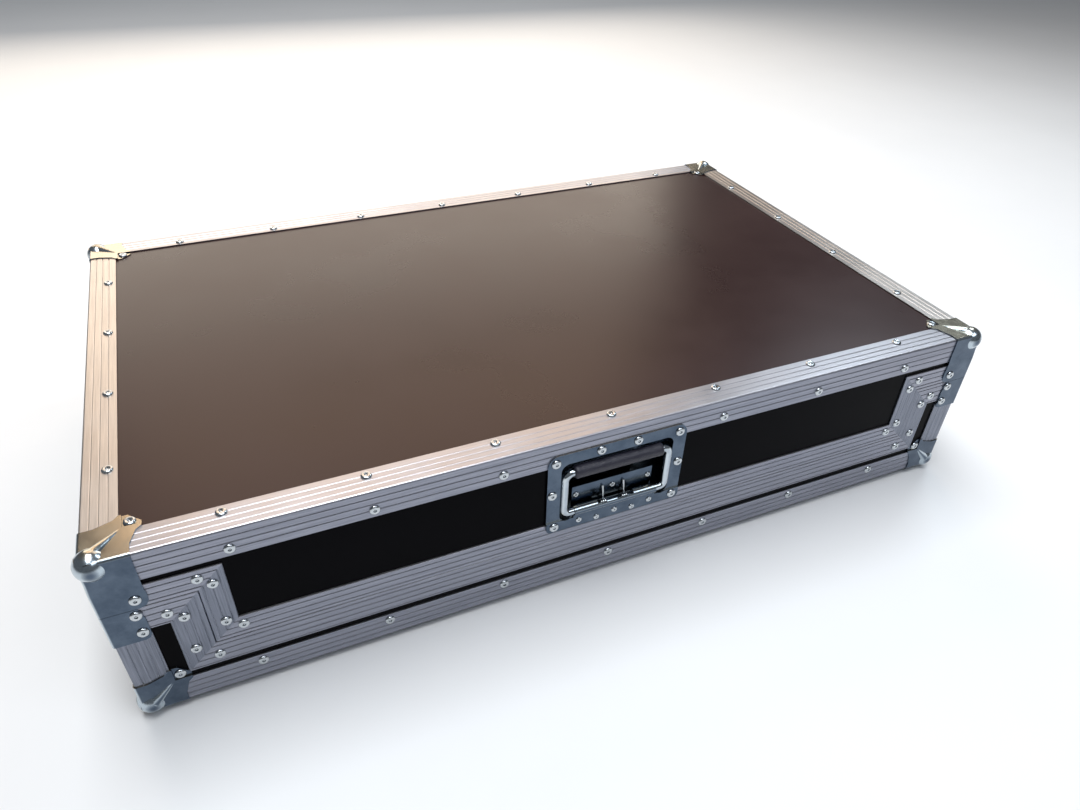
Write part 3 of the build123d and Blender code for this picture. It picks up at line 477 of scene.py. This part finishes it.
def make_film(name, dark, light, gloss):
    material, shader = start_material(name, dark, 0.3)
    shader.inputs["Specular IOR Level"].default_value = gloss
    tree = material.node_tree
    clouds = clouds_at(tree, film_cloud_size)
    vary_roughness(tree, shader, clouds, 0.25, 0.34)
    tree.links.new(ramp(tree, clouds, dark, light), shader.inputs["Base Color"])
    peel = add_node(tree, "ShaderNodeTexNoise", scale=peel_scale, detail=0.0)
    tree.links.new(object_place(tree), peel.inputs["Vector"])
    add_bump(tree, shader, peel.outputs["Fac"], peel_strength, peel_height)
    return material


film = make_film("resin_film", (0.018, 0.0052, 0.0042), (0.025, 0.0078, 0.0062), 0.38)
side_film = make_film(
    "resin_film_sides", (0.0008, 0.0007, 0.0012), (0.0018, 0.0016, 0.0026), 0.03
)


# %% [markdown]
# Rubber is matte and slightly pitted. The grip and the feet are the same stuff; the feet
# are dustier.

# %% Rubber
rubber_cloud_size = 60.0
pit_scale = 430.0
pit_strength = 0.8
pit_depth = 0.0007


def make_rubber(name, colour, dust, smooth, rough):
    material, shader = start_material(name, colour, smooth)
    tree = material.node_tree
    pits = add_node(tree, "ShaderNodeTexNoise", scale=pit_scale, detail=3.0)
    tree.links.new(object_place(tree), pits.inputs["Vector"])
    add_bump(tree, shader, pits.outputs["Fac"], pit_strength, pit_depth)
    clouds = clouds_at(tree, rubber_cloud_size)
    dusty = tuple(part + dust for part in colour)
    tone = ramp(tree, clouds, colour, dusty, starts=0.35, ends=0.75)
    tree.links.new(tone, shader.inputs["Base Color"])
    vary_roughness(tree, shader, clouds, smooth, rough)
    return material


grip_rubber = make_rubber("grip_rubber", (0.022, 0.021, 0.034), 0.014, 0.36, 0.5)
foot_rubber = make_rubber("foot_rubber", (0.016, 0.016, 0.017), 0.05, 0.45, 0.62)


# %% [markdown]
# The lining is charcoal foam. Its cells show as a fine dark speckle, so the material paints
# shade into the hollows of a cell pattern and a painted highlight on the walls between
# them.

# %% Foam
foam_colour = (0.035, 0.036, 0.04)
painted_cell_shade = (0.016, 0.016, 0.018)
painted_cell_wall_light = (0.06, 0.061, 0.066)
foam_cell_scale = 420.0


def make_foam():
    material, shader = start_material("charcoal_foam", foam_colour, 0.95)
    tree = material.node_tree
    cells = add_node(tree, "ShaderNodeTexVoronoi", scale=foam_cell_scale)
    tree.links.new(object_place(tree), cells.inputs["Vector"])
    depth = cells.outputs["Distance"]
    # Painted shade in each cell's hollow, painted light on its walls.
    tone = ramp(tree, depth, painted_cell_shade, painted_cell_wall_light, starts=0.1, ends=0.6)
    tree.links.new(tone, shader.inputs["Base Color"])
    add_bump(tree, shader, depth, strength=0.7, distance=0.001)
    return material


foam = make_foam()


# %% [markdown]
# The floor sheet has a material too, pale and nearly even.

# %% Floor finish
floor_dark = (0.79, 0.79, 0.79)
floor_light = (0.82, 0.82, 0.82)
floor_cloud_size = 2.0


def make_floor_finish():
    material, shader = start_material("pale_floor", floor_light, 0.8)
    tree = material.node_tree
    tone = ramp(tree, clouds_at(tree, floor_cloud_size), floor_dark, floor_light)
    tree.links.new(tone, shader.inputs["Base Color"])
    return material


floor.data.materials.append(make_floor_finish())

# %% [markdown]
# The CAD nodes keep their shapes and only change their finish. The aluminium lengths are
# sorted by the direction they run in, from their own boxes: the longest side is the
# direction of the streaks. A node that holds several upright lengths has a wide box, so
# those few are named.

# %% Dress the CAD nodes
upright_axis = 2
upright_nodes = ("base_corner_angles", "base_rail_risers", "lid_rail_risers")
node_slots = {part["node"]: part["material_slot"] for part in frame["record"]["subparts"]}


def longest_side(node):
    low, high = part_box(node)
    sides = [end - start for start, end in zip(low, high)]
    return sides.index(max(sides))


def finish_for(node):
    slot = node_slots[node]
    if node == "handle_bail":
        return plated_wire
    if slot == "aluminium":
        return aluminium[upright_axis if node in upright_nodes else longest_side(node)]
    return {
        "black_plywood": film if node in ("lid_top", "base_floor") else side_film,
        "plated_steel": plated,
        "rivet_steel": rivet_metal,
        "rubber": foot_rubber,
        "foam": foam,
    }[slot]


for node, piece in frame["nodes"].items():
    piece.data.materials.clear()
    piece.data.materials.append(finish_for(node))
print("dressed", len(frame["nodes"]), "nodes")


# %% [markdown]
# Each new piece is drawn where it belongs, so its object can stay at the origin. This
# helper turns a finished bmesh into an object, smooths it, hangs it on the body that
# carries it, and hides the CAD node it stands for.

# %% Helper for new pieces
same_point = 0.00001
smooth_angle = 0.6


def make_piece(name, shape, material, body, node):
    bmesh.ops.remove_doubles(shape, verts=shape.verts, dist=same_point)
    bmesh.ops.recalc_face_normals(shape, faces=shape.faces)
    mesh = bpy.data.meshes.new(name)
    shape.to_mesh(mesh)
    shape.free()
    mesh.materials.append(material)
    for face in mesh.polygons:
        face.use_smooth = True
    mesh.set_sharp_from_angle(angle=smooth_angle)
    piece = bpy.data.objects.new(name, mesh)
    bpy.context.collection.objects.link(piece)
    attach(piece, body)
    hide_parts(node)
    print(name, len(mesh.polygons), "faces")
    return piece


# %% [markdown]
# The grip is a rubber sleeve on the bail. It is turned: half of its outline, from the
# bore at one end to the bore at the other, is spun about the bail. The sleeve is dipped,
# not machined, so its radius wanders by a fraction of a millimetre, by two waves that
# never quite meet.

# %% Grip
grip_low, grip_high = (Vector(corner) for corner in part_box("handle_grip"))
grip_middle = (grip_low + grip_high) / 2
grip_half = (grip_high.x - grip_low.x) / 2
grip_radius = (grip_high.z - grip_low.z) / 2
bail_radius = 0.004
bore_radius = bail_radius + 0.0001
bore_chamfer = 0.0004
grip_end_round = 0.0026
grip_end_steps = 5
grip_rows = 40
grip_sides = 40
wander = 0.00018
short_wave, long_wave, wave_offset = 900, 370, 1


def lathe(shape, outline, centre, axis, steps):
    """Spin a line of (along, radius) points about an axis through the centre."""
    axis = Vector(axis)
    side = axis.orthogonal().normalized()
    verts = [shape.verts.new(Vector(centre) + axis * a + side * r) for a, r in outline]
    edges = [shape.edges.new(pair) for pair in zip(verts, verts[1:] + verts[:1])]
    bmesh.ops.spin(
        shape, geom=verts + edges, cent=centre, axis=axis, angle=2 * math.pi,
        steps=steps, use_merge=True,
    )


def rounded_end(half, radius, rounding):
    """Points from the side of a rod to its flat end, round a quarter circle."""
    points = []
    for step in range(grip_end_steps + 1):
        turn = math.pi / 2 * step / grip_end_steps
        along = half - rounding * (1 - math.sin(turn))
        points.append((along, radius - rounding * (1 - math.cos(turn))))
    return points


def grip_outline():
    """The sleeve's section, on one side of the bail."""
    right = rounded_end(grip_half, grip_radius, grip_end_round)
    left = [(-along, radius) for along, radius in right[::-1]]
    inner = grip_half - grip_end_round
    row = []
    for step in range(1, grip_rows):
        along = -inner + 2 * inner * step / grip_rows
        waves = math.sin(along * short_wave) * math.sin(along * long_wave + wave_offset)
        row.append((along, grip_radius - wander * (1 + waves)))
    bore_half = grip_half - bore_chamfer
    return left + row + right + [(bore_half, bore_radius), (-bore_half, bore_radius)]


grip_shape = bmesh.new()
lathe(grip_shape, grip_outline(), grip_middle, (1, 0, 0), grip_sides)
make_piece("grip_sleeve", grip_shape, grip_rubber, "handle", "handle_grip")

# %% [markdown]
# Two small torsion springs sit on the bail's pin, in the window of the rolled tube. Each
# is a wire wound close, with one straight leg that rests against the hinge plate. The
# coil is a small circle spun round the pin while it also creeps along it: spin does that
# with dvec, the creep for each step.

# %% Springs
spring_low, spring_high = (Vector(corner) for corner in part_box("handle_springs"))
spring_coil_width = 0.009
spring_coil_radius = 0.0036
spring_wire = 0.0012
spring_turns = 3
steps_per_turn = 20
wire_corners = 10
leg_tip_drop = 0.6 * spring_wire
pin_y = spring_low.y + spring_coil_radius
pin_z = spring_low.z + spring_coil_radius


def turned_to(normal, place):
    """The matrix that puts a shape at a place and turns its Z along a direction."""
    turn = Vector(normal).to_track_quat("Z", "Y").to_matrix().to_4x4()
    return Matrix.Translation(place) @ turn


def add_coil(shape, start_x):
    """Close-wound turns about the pin, from start_x towards +X."""
    mean = spring_coil_radius - spring_wire
    steps = spring_turns * steps_per_turn
    creep = (spring_coil_width - 2 * spring_wire) / steps
    start = Vector((start_x + spring_wire, pin_y, pin_z + mean))
    ring = bmesh.ops.create_circle(
        shape, cap_ends=False, segments=wire_corners, radius=spring_wire,
        matrix=turned_to((0, 1, 0), start),
    )["verts"]
    edges = list({edge for vert in ring for edge in vert.link_edges})
    bmesh.ops.spin(
        shape, geom=ring + edges, cent=(start_x, pin_y, pin_z), axis=(1, 0, 0),
        dvec=(creep, 0, 0), angle=2 * math.pi * spring_turns, steps=steps,
    )


def add_leg(shape, x):
    """The straight leg from the back of the coil up to the hinge plate."""
    start = Vector((x, pin_y + spring_coil_radius - spring_wire, pin_z))
    end = Vector((x, spring_high.y - spring_wire, spring_high.z - leg_tip_drop))
    bmesh.ops.create_cone(
        shape, cap_ends=True, segments=wire_corners, radius1=spring_wire,
        radius2=spring_wire, depth=(end - start).length,
        matrix=turned_to(end - start, (start + end) / 2),
    )


def close_ends(shape):
    """Cap every open ring of edges."""
    rims = [edge for edge in shape.edges if edge.is_boundary]
    bmesh.ops.holes_fill(shape, edges=rims, sides=0)


half_coil = spring_coil_width / 2
spring_shape = bmesh.new()
for middle in (spring_low.x + half_coil, spring_high.x - half_coil):
    add_coil(spring_shape, middle - half_coil)
    add_leg(spring_shape, middle)
close_ends(spring_shape)
make_piece("bail_springs", spring_shape, rivet_metal, "lid", "handle_springs")

# %% [markdown]
# Foam is cut with a hot wire, and its edges give a little, so each pad is a slab with
# soft edges. A cube is stretched to the CAD solid's box, its long edges are divided, and
# its sharp ones are bevelled. The boxes come from the CAD node: its mesh is split into
# the groups of points that edges join, one group for each pad.

# %% Foam pads
pad_edge = 0.004
pad_edge_share = 0.3
pad_edge_steps = 3
pad_long_side = 0.2
pad_cuts = 11
sharp_angle = 1.0


def add_pad(shape, low, high):
    """A soft-edged slab between two corners."""
    slab = bmesh.new()
    bmesh.ops.create_cube(slab, size=1.0)
    size = high - low
    bmesh.ops.scale(slab, vec=size, verts=slab.verts)
    bmesh.ops.translate(slab, vec=(low + high) / 2, verts=slab.verts)
    long_edges = [edge for edge in slab.edges if edge.calc_length() > pad_long_side]
    bmesh.ops.subdivide_edges(slab, edges=long_edges, cuts=pad_cuts, use_grid_fill=True)
    sharp = [edge for edge in slab.edges if edge.calc_face_angle(0.0) > sharp_angle]
    edge_width = min(pad_edge, min(size) * pad_edge_share)
    bmesh.ops.bevel(
        slab, geom=sharp, offset=edge_width, segments=pad_edge_steps, affect="EDGES",
        profile=0.5, material=-1,
    )
    slab_mesh = bpy.data.meshes.new("pad")
    slab.to_mesh(slab_mesh)
    slab.free()
    shape.from_mesh(slab_mesh)
    bpy.data.meshes.remove(slab_mesh)


def solid_boxes(node):
    """The box of each separate solid in a CAD node."""
    copy = bmesh.new()
    copy.from_mesh(frame["nodes"][node].data)
    bmesh.ops.remove_doubles(copy, verts=copy.verts, dist=same_point)
    left = set(copy.verts)
    boxes = []
    while left:
        group, front = set(), [left.pop()]
        while front:
            vert = front.pop()
            group.add(vert)
            near = {edge.other_vert(vert) for edge in vert.link_edges} & left
            left -= near
            front += near
        low = Vector([min(vert.co[axis] for vert in group) for axis in range(3)])
        high = Vector([max(vert.co[axis] for vert in group) for axis in range(3)])
        boxes.append((low, high))
    copy.free()
    return sorted(boxes, key=lambda pair: tuple(pair[0]))


def make_pads(name, body, node):
    """One piece of foam for a CAD node, with a pad for each of its solids."""
    shape = bmesh.new()
    for low, high in solid_boxes(node):
        add_pad(shape, low, high)
    piece = make_piece(name, shape, foam, body, node)


make_pads("floor_pad", "base", "base_foam_floor")
make_pads("side_pads", "base", "base_foam_sides")
make_pads("lid_pad", "lid", "lid_foam")
